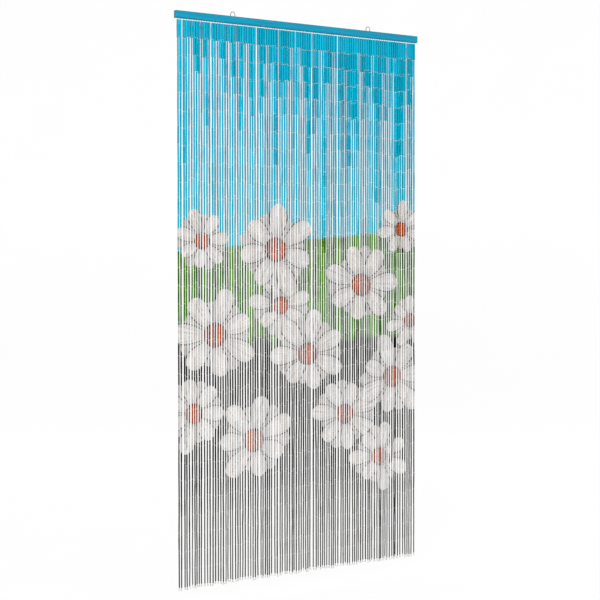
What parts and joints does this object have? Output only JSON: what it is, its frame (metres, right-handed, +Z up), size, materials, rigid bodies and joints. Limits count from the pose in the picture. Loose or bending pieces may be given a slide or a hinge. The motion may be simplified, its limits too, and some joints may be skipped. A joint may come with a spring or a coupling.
{
  "type": "bamboo door curtain and rail",
  "caption": "Painted wooden rail with wire hanging eyes and a full row of hanging strands made of thin printed bamboo tubes, for a doorway.",
  "frame": {"origin": "middle of the rail's top face, halfway between the two hanging eyes", "axes": "+X along the rail to the viewer's right, +Z up, and the curtain is seen from -Y with its back to +Y"},
  "size_m": [1, 0.016, 2.0204],
  "materials": {
    "painted_wood": "turquoise satin paint over sanded softwood",
    "printed_bamboo": "bamboo tubes printed with paint in sky blue, green, white and dark grey, satin",
    "steel_wire": "plain bright zinc-coated steel wire"
  },
  "bodies": {
    "root": {"rail": "painted_wood", "hanging_eye_left": "steel_wire", "hanging_eye_right": "steel_wire", "strands": "printed_bamboo"}
  },
  "joints": []
}
